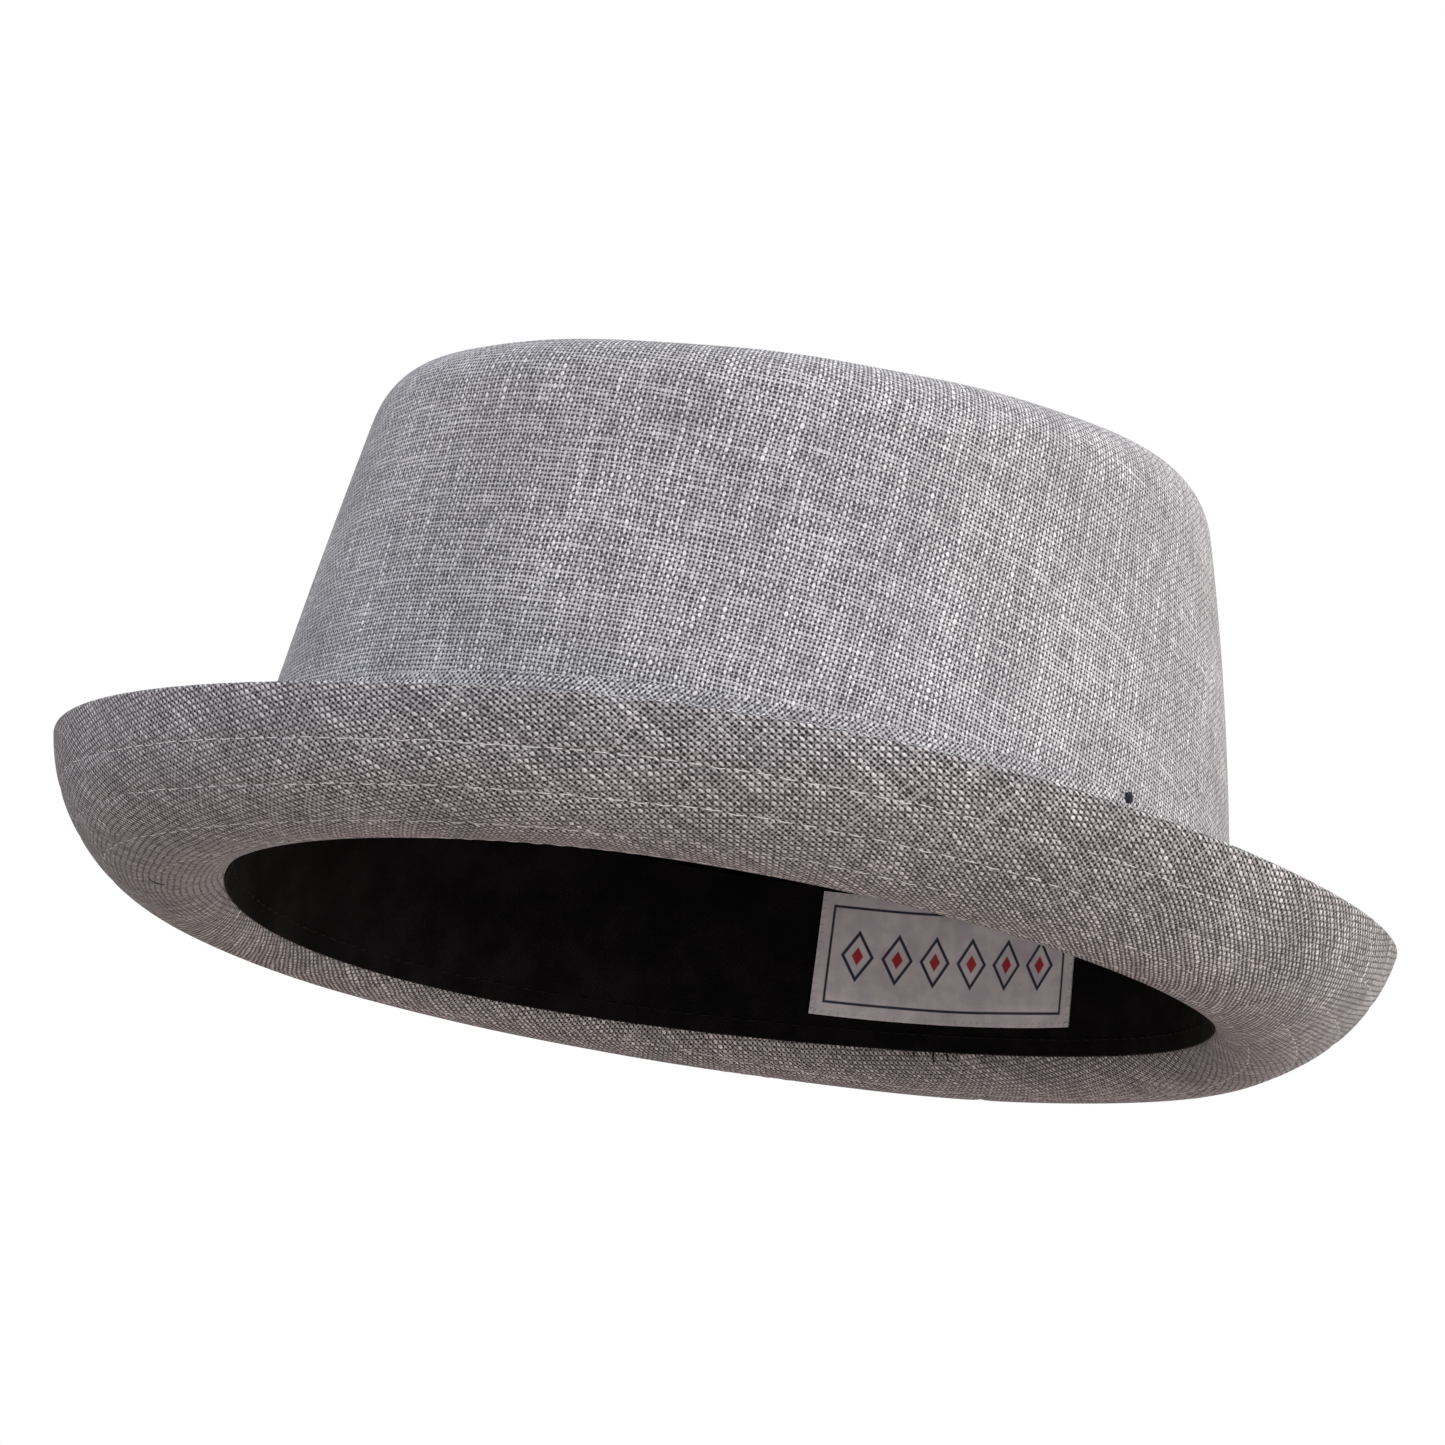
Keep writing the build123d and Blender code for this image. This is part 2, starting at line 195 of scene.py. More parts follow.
def crown_face(turn, foot, top=None, wall_rows=70):
    """Rows of (out, up) up the crown's outer face, from foot to top, or on down into the crease."""
    height = crown_height(turn)
    radius = 12.8 - 0.59 * np.cos(turn) + 0.47 * np.sin(turn) - 0.2 * np.cos(2 * turn)
    wall_end = height - radius if top is None else top + 0 * turn
    part = np.linspace(0, 1, wall_rows)[:, None]
    up = foot + (wall_end - foot) * part
    out = wall_out(turn, up)
    if top is not None:
        return out, up
    slope = wall_out(turn, wall_end - 0.5) - wall_out(turn, wall_end + 0.5)
    bend = np.linspace(0, math.pi / 2, 25)[1:, None]
    inward = 1 - np.clip(np.cos(bend), 0, 1) ** SHOULDER_POWER
    upward = np.sin(bend) ** SHOULDER_POWER
    shoulder_out = out[-1] - radius * inward - slope * radius * upward
    shoulder_up = wall_end + radius * upward
    ridge = shoulder_out[-1]
    edge = np.linspace(0, math.pi / 2, 15)[:, None]
    wall = ridge - RIDGE_WIDTH - CREASE_EDGE_RADIUS
    edge_out = wall + CREASE_EDGE_RADIUS * (1 - np.sin(edge))
    edge_drop = CREASE_EDGE_RADIUS * (1 - np.cos(edge))
    foot_bend = np.linspace(0, math.pi / 2, 10)[:, None]
    foot_out = wall - CREASE_FOOT_RADIUS * (1 - np.cos(foot_bend))
    foot_drop = CREASE_EDGE_RADIUS + CREASE_STRAIGHT + CREASE_FOOT_RADIUS * np.sin(foot_bend)
    flat_out = foot_out[-1:] - CREASE_FLAT * np.array([[0.5], [1.0]])
    flat_drop = np.repeat(foot_drop[-1:], 2, axis=0)
    top_out = np.concatenate([edge_out, foot_out, flat_out])
    top_drop = np.concatenate([edge_drop, foot_drop, flat_drop]) + 0 * top_out
    shrink = (HEAD_HALF_LENGTH + top_out) / (HEAD_HALF_LENGTH + ridge)
    top_up = CROWN_HEIGHT - CROWN_FRONT_DROP * np.cos(turn) * shrink - top_drop
    out = np.concatenate([out, shoulder_out, top_out])
    up = np.concatenate([up, shoulder_up, top_up])
    return out, up


def brim_curve(turn, part):
    """The brim's under face as a cubic curve, part 0 at the head opening and 1 at the edge. The
    brim is soft, so it turns up a little more at the wearer's right."""
    reach = 32.9 + 0.27 * np.cos(turn) - 1.28 * np.cos(2 * turn) - 2.06 * np.cos(3 * turn)
    reach = reach + 1.76 * np.cos(4 * turn) - 0.34 * np.sin(turn) - 0.17 * np.sin(2 * turn)
    reach = reach + 0.56 * np.sin(3 * turn)
    rise = 16.77 + 0.67 * np.cos(turn) + 0.12 * np.cos(2 * turn) - 0.7 * np.cos(3 * turn)
    rise = rise - 0.31 * np.cos(4 * turn) - 1.57 * np.sin(turn) - 2.15 * np.sin(2 * turn)
    rise = rise + 2.04 * np.sin(3 * turn)
    belly = -5.95 - 2.28 * np.cos(2 * turn) + 0.15 * np.sin(turn) + 1.56 * np.sin(2 * turn)
    scale = reach / BRIM_REACH
    start = (1 - part) ** 3
    first = 3 * part * (1 - part) ** 2
    second = 3 * part**2 * (1 - part)
    last = part**3
    out = first * 5.314 * scale
    out = out + second * (28.17 + 0.2 * np.sin(turn)) * scale + last * reach
    up = rim_up(turn) * (start + first) + first * (-10.073 + 0.065 * np.cos(2 * turn))
    up = up + second * belly + last * rise
    return out, up


def lengths(out, up):
    """Distance along each column from its first row."""
    steps = np.hypot(np.diff(out, axis=0), np.diff(up, axis=0))
    return np.concatenate([0 * out[:1], np.cumsum(steps, axis=0)])


def normals(out, up):
    """Unit normals of each column, to the left of its direction: away from the head on the crown's
    wall when the rows go down, and towards the brim's upper face when they go outwards."""
    along_out = np.gradient(out, axis=0)
    along_up = np.gradient(up, axis=0)
    size = np.hypot(along_out, along_up)
    return -along_up / size, along_out / size


def along_face(normal):
    """The unit directions (out, up) along each column, from its normals (out, up)."""
    return np.stack([normal[1], -normal[0]])


def brim_rows(turn):
    """Rows of (out, up, distance from the edge) on the brim's under face, collar first."""
    part = np.linspace(0.04, 1, 400)[:, None]
    out, up = brim_curve(turn, part)
    length = lengths(out, up)
    total = length[-1]
    outer = np.arange(EDGE_RADIUS, 37.5, BRIM_ROW_STEP)[::-1]
    inner = np.linspace(0, 1, 16)[:-1]
    rows_out = []
    rows_up = []
    rows_edge = []
    for column in range(len(turn)):
        start = total[column]
        edge = np.concatenate([start + (outer[0] - start) * inner, outer])
        place = start - edge
        rows_out.append(np.interp(place, length[:, column], out[:, column]))
        rows_up.append(np.interp(place, length[:, column], up[:, column]))
        rows_edge.append(edge)
    out = np.array(rows_out).T
    up = np.array(rows_up).T
    edge = np.array(rows_edge).T
    collar_up = rim_up(turn) + np.linspace(COLLAR_HEIGHT, -0.2, 6)[:, None]
    collar_out = wall_out(turn, collar_up) - WALL_DEPTH + SWEATBAND + GAP
    collar_edge = edge[0] + np.linspace(COLLAR_HEIGHT + 1.1, 1.0, 6)[:, None]
    out = np.concatenate([collar_out, out])
    up = np.concatenate([collar_up, up])
    edge = np.concatenate([collar_edge, edge])
    return out, up, edge


def row_distance(turn, row):
    """How far a row of stitches lies from the brim's edge: it wanders a little."""
    return STITCH_ROWS[row] + wave(turn, 10.0 * row, 40 + row, 0.22, 17, 30.0)


def groove(turn, edge):
    """How deep the stitching pulls the cloth in, at that distance from the brim's edge."""
    depth = 0 * edge
    for row in range(len(STITCH_ROWS)):
        near = (edge - row_distance(turn, row)) / GROOVE_WIDTH
        depth = depth + GROOVE_DEPTH * np.exp(-(near**2))
    return depth


def brim_ripple(turn, edge):
    """The brim's gentle unevenness, which all its layers share. It fades out at the opening."""
    fade = np.clip((44 - edge) / 20, 0, 1)
    return fade * wave(turn, edge, 5, 0.22, 14, 9.0)


def crown_ripple(turn, along):
    """The crown's gentle unevenness, which all its layers share."""
    return wave(turn, along, 11, 0.16, 12, 22.0)


def round_length(turn, out):
    """Distance round the head from the front, at that distance outside the opening."""
    sweep = np.linspace(0, math.pi, 2001)
    points = head_point(sweep, out, 0.0)
    steps = np.linalg.norm(np.diff(points, axis=0), axis=1)
    length = np.concatenate([[0], np.cumsum(steps)])
    return np.sign(turn) * np.interp(np.abs(turn), sweep, length)


def crown_cut(length_round, along):
    """Cloth coordinates on the crown's side. It is cut flat on a curve, as a cone's side is, so its
    threads turn a little as they go round."""
    sweep = (length_round - CROWN_GRAIN) / CROWN_CUT_RADIUS
    radius = CROWN_CUT_RADIUS - along
    return radius * np.sin(sweep), CROWN_CUT_RADIUS - radius * np.cos(sweep)


def turns_round():
    """The columns' angles, from the back round the front to the back, the seam's angle twice."""
    return np.linspace(-math.pi, math.pi, COLUMNS + 1)


def make_mesh(name, points, faces, cloth):
    """A piece from points in mm, faces and the cloth coordinates of each face's corners."""
    mesh = bpy.data.meshes.new(name)
    mesh.from_pydata([tuple(point) for point in np.asarray(points) * MM], [], faces)
    layer = mesh.uv_layers.new(name="Cloth")
    corners = np.concatenate([np.asarray(face, dtype=float) for face in cloth])
    layer.data.foreach_set("uv", corners.ravel())
    mesh.validate()
    mesh.shade_smooth()
    mesh.set_sharp_from_angle(angle=math.radians(50))
    piece = bpy.data.objects.new(name, mesh)
    bpy.context.collection.objects.link(piece)
    return piece


def quads(grid):
    """What a grid holds at the four corners of each face between neighbours."""
    corners = (grid[:-1, :-1], grid[:-1, 1:], grid[1:, 1:], grid[1:, :-1])
    return np.stack(corners, axis=2).reshape(-1, 4, *grid.shape[2:])


def ring(name, out, up, turn, cloth_x, cloth_y):
    """A closed ring whose cross-section is the loop of rows of (out, up). The last column is the
    first again, and so is the row after the last: cloth_x and cloth_y, the cloth coordinates, have
    one more row for that."""
    points = head_point(turn[:-1], out[:, :-1], up[:, :-1])
    numbers = np.arange(points[..., 0].size).reshape(points.shape[:2])
    numbers = np.pad(numbers, ((0, 1), (0, 1)), mode="wrap")
    cloth = quads(np.stack([cloth_x, cloth_y], axis=-1))
    return make_mesh(name, points.reshape(-1, 3), quads(numbers).tolist(), cloth)


def layer_ring(name, out, up, turn, cloth_x, cloth_y, outer, inner, bump=0.0):
    """A ring of cloth between two depths below a face of rows (out, up): depth goes against the
    face's normal. Its ends are rounded."""
    face = np.stack([out, up])
    normal = np.stack(normals(out, up))
    outer_face = face + normal * (bump - outer)
    inner_face = face + normal * (bump - inner)
    middle = (outer_face + inner_face) / 2
    beyond = along_face(normal) * abs(inner - outer) * 0.4
    ends = [middle[:, -1:] + beyond[:, -1:], middle[:, :1] - beyond[:, :1]]
    loop = np.concatenate([outer_face, ends[0], inner_face[:, ::-1], ends[1]], axis=1)
    loop_cloth = []
    for place in (cloth_x, cloth_y):
        place = np.broadcast_to(place, out.shape)
        parts = [place, place[-1:], place[::-1], place[:1], place[:1]]
        loop_cloth.append(np.concatenate(parts))
    return ring(name, *loop, turn, *loop_cloth)


def tube(points, radius, sides=6, closed=False):
    """Points, faces and cloth coordinates of a thread along points in mm, tapered at open ends."""
    points = np.asarray(points, dtype=float)
    count = len(points)
    if closed:
        along = np.roll(points, -1, axis=0) - np.roll(points, 1, axis=0)
    else:
        along = np.gradient(points, axis=0)
    along = along / np.linalg.norm(along, axis=1)[:, None]
    side = np.cross(along, [0.0, 0.0, 1.0])
    steep = np.linalg.norm(side, axis=1) < 0.05
    side[steep] = np.cross(along[steep], [1.0, 0.0, 0.0])
    side = side / np.linalg.norm(side, axis=1)[:, None]
    other = np.cross(side, along)
    radii = np.full(count, radius)
    if not closed:
        radii[[0, -1]] = radius * THREAD_TAPER
    rings = []
    for angle in np.linspace(0, 2 * math.pi, sides, endpoint=False):
        rings.append(points + radii[:, None] * (math.cos(angle) * side + math.sin(angle) * other))
    vertices = np.stack(rings, axis=1).reshape(-1, 3)
    steps = np.linalg.norm(np.diff(points, axis=0), axis=1)
    distance = np.concatenate([[0], np.cumsum(steps)])
    numbers = np.arange(count * sides).reshape(count, sides)
    if closed:
        distance = np.append(distance, distance[-1] + 0.8)
    numbers = np.pad(numbers, ((0, int(closed)), (0, 1)), mode="wrap")
    place = np.meshgrid(distance, np.arange(sides + 1) / sides, indexing="ij")
    faces = quads(numbers).tolist()
    cloth = list(quads(np.stack(place, axis=-1)))
    if not closed:
        faces.append(numbers[0, -2::-1].tolist())
        cloth.append([(0.0, 0.5)] * sides)
        faces.append(numbers[-1, :-1].tolist())
        cloth.append([(distance[-1], 0.5)] * sides)
    return vertices, faces, cloth


def threads(name, parts):
    """One piece from several tubes."""
    points = []
    faces = []
    cloth = []
    first = 0
    for part_points, part_faces, part_cloth in parts:
        points.append(part_points)
        for face in part_faces:
            faces.append(tuple(corner + first for corner in face))
        cloth.extend(part_cloth)
        first += len(part_points)
    return make_mesh(name, np.concatenate(points), faces, cloth)


def disc(name, edge_points, top_face, thickness):
    """A closed oval piece from its edge points in mm: top_face gives the height at x and y."""
    rings = 26
    count = len(edge_points)
    fractions = np.linspace(1, 0, rings + 1)[:-1, None]

    def oval(fraction, drop):
        x = edge_points[:, 0] * fraction
        y = edge_points[:, 1] * fraction
        return np.stack([x, y, top_face(x, y) - drop], axis=-1).reshape(-1, 3)

    middle = top_face(0.0, 0.0)
    centres = [[0.0, 0.0, middle], [0.0, 0.0, middle - thickness]]
    points = np.concatenate([oval(fractions, 0.0), centres, oval(fractions[::-1], thickness)])
    centre = rings * count
    low = centre + 2
    numbers = np.arange(centre).reshape(rings, count)
    numbers = np.concatenate([low + numbers, numbers])
    numbers = np.pad(numbers, ((0, 0), (0, 1)), mode="wrap")[:, ::-1]
    faces = quads(numbers).tolist()
    inner = centre - count
    for column in range(count):
        beside = (column + 1) % count
        faces.append((inner + beside, inner + column, centre))
        faces.append((low + column, low + beside, centre + 1))
    cloth = [points[list(face), :2] for face in faces]
    return make_mesh(name, points, faces, cloth)


# Materials


class Nodes:
    """Adds shader nodes to a material or a world."""

    def __init__(self, owner):
        owner.use_nodes = True
        self.owner = owner
        self.tree = owner.node_tree
        self.shader = self.tree.nodes.get("Principled BSDF")

    def add(self, kind, inputs=None, **settings):
        node = self.tree.nodes.new(kind)
        for key, value in settings.items():
            setattr(node, key, value)
        for key, value in (inputs or {}).items():
            self.feed(value, node.inputs[key])
        return node

    def feed(self, value, socket):
        if isinstance(value, bpy.types.NodeSocket):
            self.tree.links.new(value, socket)
        else:
            socket.default_value = value

    def math(self, operation, first, second=0.0):
        return self.add("ShaderNodeMath", {0: first, 1: second}, operation=operation).outputs[0]

    def plus(self, first, second):
        return self.math("ADD", first, second)

    def minus(self, first, second):
        return self.math("SUBTRACT", first, second)

    def times(self, first, second):
        return self.math("MULTIPLY", first, second)

    def vector(self, operation, first, second):
        node = self.add("ShaderNodeVectorMath", {0: first, 1: second}, operation=operation)
        return node.outputs[0]

    def scaled(self, place, size):
        inputs = {0: place, "Scale": size}
        return self.add("ShaderNodeVectorMath", inputs, operation="SCALE").outputs[0]

    def turned(self, place, degrees):
        inputs = {"Vector": place, "Angle": math.radians(degrees)}
        return self.add("ShaderNodeVectorRotate", inputs, rotation_type="Z_AXIS").outputs[0]

    def parts(self, place):
        split = self.add("ShaderNodeSeparateXYZ", {0: place})
        return split.outputs[0], split.outputs[1]

    def pair(self, x, y):
        return self.add("ShaderNodeCombineXYZ", {0: x, 1: y}).outputs[0]

    def cloth(self):
        return self.add("ShaderNodeUVMap", uv_map="Cloth").outputs[0]

    def noise(self, vector, scale, detail=2.0, roughness=0.5, output=0):
        inputs = {"Vector": vector, "Scale": scale, "Detail": detail, "Roughness": roughness}
        return self.add("ShaderNodeTexNoise", inputs, noise_dimensions="2D").outputs[output]

    def smooth(self, value, low, high, low_result=0.0, high_result=1.0):
        inputs = {0: value, 1: low, 2: high, 3: low_result, 4: high_result}
        node = self.add("ShaderNodeMapRange", inputs, interpolation_type="SMOOTHSTEP")
        return node.outputs[0]

    def mix(self, amount, first, second, mode="MIX"):
        inputs = {0: amount, 6: first, 7: second}
        return self.add("ShaderNodeMix", inputs, data_type="RGBA", blend_type=mode).outputs[2]

    def blend(self, amount, first, second):
        inputs = {0: amount, 2: first, 3: second}
        return self.add("ShaderNodeMix", inputs, data_type="FLOAT").outputs[0]

    def dim(self, base, light):
        """A colour made darker or lighter by a number."""
        grey = self.add("ShaderNodeCombineColor", {0: light, 1: light, 2: light}).outputs[0]
        return self.mix(1.0, base, grey, mode="MULTIPLY")

    def surface(self, base, rough, relief, depth, plain=None):
        """Feeds the shader its colour, its roughness, a relief with its depth in mm, and the plain
        numbers given by their sockets' names."""
        inputs = {"Height": relief, "Distance": depth * MM, "Strength": 1.0}
        bump = self.add("ShaderNodeBump", inputs).outputs[0]
        values = {"Base Color": base, "Roughness": rough, "Normal": bump, **(plain or {})}
        for name, value in values.items():
            self.feed(value, self.shader.inputs[name])
        return self.owner


def colour(red, green, blue):
    return (red, green, blue, 1.0)


def woven(name, angle, warp, weft, gap_shade):
    """Plain weave of slubby yarn. warp and weft are each a dark and a light colour, and angle is
    how far the threads are turned from the cloth coordinates, in degrees. The gap colour is painted
    shade, laid where the threads dip: along their edges and in the gaps between them."""
    nodes = Nodes(bpy.data.materials.new(name))
    place = nodes.cloth()
    drift = nodes.vector("SUBTRACT", nodes.noise(place, 0.045, output=1), (0.5, 0.5, 0.5))
    moved = nodes.vector("ADD", place, nodes.scaled(drift, 1.3))
    straight_x, straight_y = nodes.parts(nodes.scaled(nodes.turned(moved, angle), 1 / THREAD_PITCH))

    # Threads differ in width and spacing, and each wanders a little along its length
    def wander(scale_x, scale_y):
        side = nodes.pair(nodes.times(straight_x, scale_x), nodes.times(straight_y, scale_y))
        return nodes.times(nodes.minus(nodes.noise(side, 1.0, detail=1.0), 0.5), 0.65)

    x = nodes.plus(straight_x, wander(0.9, 0.16))
    y = nodes.plus(straight_y, wander(0.16, 0.9))
    warp_number = nodes.math("FLOOR", x)
    weft_number = nodes.math("FLOOR", y)
    across_warp = nodes.minus(nodes.minus(x, warp_number), 0.5)
    across_weft = nodes.minus(nodes.minus(y, weft_number), 0.5)
    odd = nodes.math("FLOORED_MODULO", nodes.plus(warp_number, weft_number), 2.0)
    over = nodes.minus(1.0, nodes.times(odd, 2.0))
    warp_bow = nodes.times(over, nodes.math("COSINE", nodes.times(across_weft, math.pi)))
    weft_bow = nodes.times(over, nodes.math("COSINE", nodes.times(across_warp, math.pi)))
    weft_bow = nodes.times(weft_bow, -1.0)

    # Each thread's own streaks: long and thin, along the thread
    warp_place = nodes.pair(nodes.times(warp_number, 3.71), nodes.times(y, 0.055))
    weft_place = nodes.pair(nodes.times(x, 0.07), nodes.times(weft_number, 3.37))
    warp_streak = nodes.noise(warp_place, 1.0, detail=3.0, roughness=0.6)
    weft_streak = nodes.noise(weft_place, 1.0, detail=3.0, roughness=0.6)
    warp_slub = nodes.smooth(warp_streak, 0.6, 0.74)
    weft_slub = nodes.smooth(weft_streak, 0.6, 0.74)

    def profile(bow, across, width, slub):
        """How high a thread's rounded face stands: thicker at a slub."""
        part = nodes.math("DIVIDE", across, nodes.plus(width, nodes.times(slub, 0.07)))
        return nodes.plus(nodes.times(bow, 0.75), nodes.minus(1.0, nodes.times(part, part)))

    warp_up = profile(warp_bow, across_warp, 0.31, warp_slub)
    weft_up = profile(weft_bow, across_weft, 0.3, weft_slub)
    warp_shows = nodes.smooth(nodes.minus(warp_up, weft_up), -0.12, 0.12)
    height = nodes.math("MAXIMUM", warp_up, weft_up)

    # Fibres twisted along each thread
    warp_fibre = nodes.noise(nodes.pair(nodes.times(x, 9.0), nodes.times(y, 2.0)), 1.0)
    weft_fibre = nodes.noise(nodes.pair(nodes.times(x, 2.0), nodes.times(y, 9.0)), 1.0)
    fibre = nodes.blend(warp_shows, weft_fibre, warp_fibre)

    # Colour: by thread, then by fibre, by crossing and over broad patches
    warp_colour = nodes.mix(nodes.smooth(warp_streak, 0.26, 0.74), colour(*warp[0]), colour(*warp[1]))
    weft_colour = nodes.mix(nodes.smooth(weft_streak, 0.26, 0.74), colour(*weft[0]), colour(*weft[1]))
    thread = nodes.mix(warp_shows, weft_colour, warp_colour)
    thread = nodes.dim(thread, nodes.smooth(fibre, 0.25, 0.75, 0.78, 1.22))
    crossing = {"Vector": nodes.pair(warp_number, weft_number)}
    spot = nodes.add("ShaderNodeTexWhiteNoise", crossing, noise_dimensions="2D").outputs[0]
    thread = nodes.dim(thread, nodes.plus(0.91, nodes.times(spot, 0.18)))
    broad = nodes.noise(place, 0.035, detail=3.0)
    thread = nodes.dim(thread, nodes.smooth(broad, 0.3, 0.7, 0.93, 1.07))
    # Painted shade: the colour goes to the gap colour where the threads stand low, at their edges and
    # between them
    final = nodes.mix(nodes.smooth(height, 0.1, 1.1), colour(*gap_shade), thread)
    rough = nodes.smooth(fibre, 0.3, 0.7, 0.78, 0.95)
    relief = nodes.plus(height, nodes.times(fibre, 0.5))
    relief = nodes.plus(relief, nodes.times(warp_slub, 0.35))
    plain = {"Sheen Weight": 0.1, "Sheen Roughness": 0.6, "Specular IOR Level": 0.2}
    return nodes.surface(final, rough, relief, 0.12, plain)


def black_cloth(name, twill, tone, gloss):
    """Black cotton. twill 1 gives a diagonal rib, 0 a fine plain weave."""
    nodes = Nodes(bpy.data.materials.new(name))
    place = nodes.cloth()
    across_rib, along_rib = nodes.parts(nodes.turned(place, 63 if twill else 0))
    pitch = 0.55 if twill else 0.35
    ribs = nodes.math("SINE", nodes.times(across_rib, 2 * math.pi / pitch))
    cross = nodes.math("SINE", nodes.times(along_rib, 2 * math.pi / (pitch * 1.3)))
    relief = nodes.plus(ribs, nodes.times(cross, 0.35 if twill else 1.0))
    lint = nodes.noise(place, 6.0)
    wear = nodes.noise(place, 0.09, detail=4.0, roughness=0.6)
    relief = nodes.plus(relief, nodes.times(lint, 1.2))
    # Lighter in broad worn patches, and lighter on the ribs' raised parts: painted shade in the ribs'
    # hollows
    light = nodes.smooth(nodes.plus(wear, nodes.times(relief, 0.05)), 0.3, 0.8, 0.6, 1.7)
    rough = nodes.smooth(wear, 0.3, 0.75, gloss + 0.12, gloss - 0.08)
    shade = nodes.dim(colour(*tone), light)
    return nodes.surface(shade, rough, relief, 0.03, {"Specular IOR Level": 0.12})


def thread_material(name, dark, light, sheen=0.2):
    """Twisted sewing thread: the twist runs round it as it goes along."""
    nodes = Nodes(bpy.data.materials.new(name))
    along, around = nodes.parts(nodes.cloth())
    phase = nodes.times(nodes.plus(nodes.math("DIVIDE", along, TWIST_PITCH), around), 4 * math.pi)
    twist = nodes.math("SINE", phase)
    fuzz = nodes.noise(nodes.pair(along, around), 5.0)
    # Darker in the twist's grooves, painted shade, and patchy where the fibres fuzz
    tone = nodes.smooth(nodes.plus(twist, nodes.times(fuzz, 1.5)), -1.0, 2.2)
    base = nodes.mix(tone, colour(*dark), colour(*light))
    rough = nodes.smooth(fuzz, 0.3, 0.7, 0.55, 0.8)
    plain = {"Sheen Weight": sheen, "Specular IOR Level": 0.2}
    return nodes.surface(base, rough, nodes.plus(twist, fuzz), 0.03, plain)


def stiffener_material(name):
    """White non-woven interlining: matted fibres with dots of glue."""
    nodes = Nodes(bpy.data.materials.new(name))
    place = nodes.cloth()
    fibres = nodes.noise(place, 1.6, detail=5.0, roughness=0.7)
    dots = nodes.add("ShaderNodeTexVoronoi", {"Vector": place, "Scale": 0.8}, voronoi_dimensions="2D")
    glue = nodes.smooth(dots.outputs[0], 0.12, 0.2)
    light = nodes.mix(nodes.smooth(fibres, 0.3, 0.7), colour(0.6, 0.59, 0.56), colour(0.82, 0.81, 0.78))
    base = nodes.mix(glue, colour(0.7, 0.7, 0.68), light)
    rough = nodes.smooth(fibres, 0.3, 0.7, 0.8, 0.95)
    return nodes.surface(base, rough, nodes.plus(fibres, glue), 0.08)


def label_material(name):
    """White satin label with a navy border and a row of diamonds, woven in."""
    nodes = Nodes(bpy.data.materials.new(name))
    place = nodes.cloth()
    x, y = nodes.parts(place)
    off_x = nodes.math("ABSOLUTE", x)
    off_y = nodes.math("ABSOLUTE", y)
    from_side = nodes.minus(LABEL_HALF_WIDTH, off_x)
    inset = nodes.math("MINIMUM", from_side, nodes.minus(LABEL_HALF_HEIGHT, off_y))
    off_border = nodes.math("ABSOLUTE", nodes.minus(inset, LABEL_BORDER_INSET))
    border = nodes.smooth(off_border, 0.16, 0.34, 1.0, 0.0)
    cell = nodes.minus(nodes.math("FLOORED_MODULO", x, DIAMOND_PITCH), DIAMOND_PITCH / 2)
    across = nodes.math("DIVIDE", nodes.math("ABSOLUTE", cell), DIAMOND_HALF_WIDTH)
    diamond = nodes.plus(across, nodes.math("DIVIDE", off_y, DIAMOND_HALF_HEIGHT))
    inside = nodes.math("LESS_THAN", off_x, DIAMOND_ROW_HALF_LENGTH)
    outline = nodes.smooth(nodes.math("ABSOLUTE", nodes.minus(diamond, 0.86)), 0.07, 0.14, 1.0, 0.0)
    outline = nodes.times(outline, inside)
    heart = nodes.times(nodes.smooth(diamond, 0.3, 0.38, 1.0, 0.0), inside)
    ribs = nodes.math("SINE", nodes.times(x, 2 * math.pi / 0.28))
    picks = nodes.math("SINE", nodes.times(y, 2 * math.pi / 0.42))
    cloud = nodes.noise(place, 0.25, detail=3.0)
    white = nodes.mix(nodes.smooth(cloud, 0.3, 0.7), colour(0.72, 0.73, 0.83), colour(0.86, 0.87, 0.94))
    ink = nodes.mix(heart, white, colour(0.5, 0.03, 0.04))
    ink = nodes.mix(nodes.math("MAXIMUM", outline, border), ink, colour(0.02, 0.03, 0.07))
    raised = nodes.times(nodes.math("MAXIMUM", outline, heart), 2.0)
    relief = nodes.plus(nodes.plus(ribs, nodes.times(picks, 0.6)), raised)
    rough = nodes.smooth(cloud, 0.3, 0.7, 0.45, 0.6)
    return nodes.surface(ink, rough, relief, 0.02, {"Sheen Weight": 0.15})


def floor_material(name):
    """Plain pale paper."""
    nodes = Nodes(bpy.data.materials.new(name))
    grain = nodes.noise(nodes.add("ShaderNodeTexCoord").outputs["Object"], 40.0, detail=4.0)
    base = nodes.mix(grain, colour(0.378, 0.312, 0.284), colour(0.406, 0.336, 0.307))
    nodes.feed(base, nodes.shader.inputs["Base Color"])
    nodes.shader.inputs["Roughness"].default_value = 0.9
    return nodes.owner


# Each cloth's gap colour is painted shade, for where its threads dip
CROWN_WARP = ((0.44, 0.435, 0.46), (0.75, 0.74, 0.77))
CROWN_WEFT = ((0.25, 0.247, 0.266), (0.54, 0.532, 0.56))
CROWN_GAP_SHADE = (0.045, 0.044, 0.052)
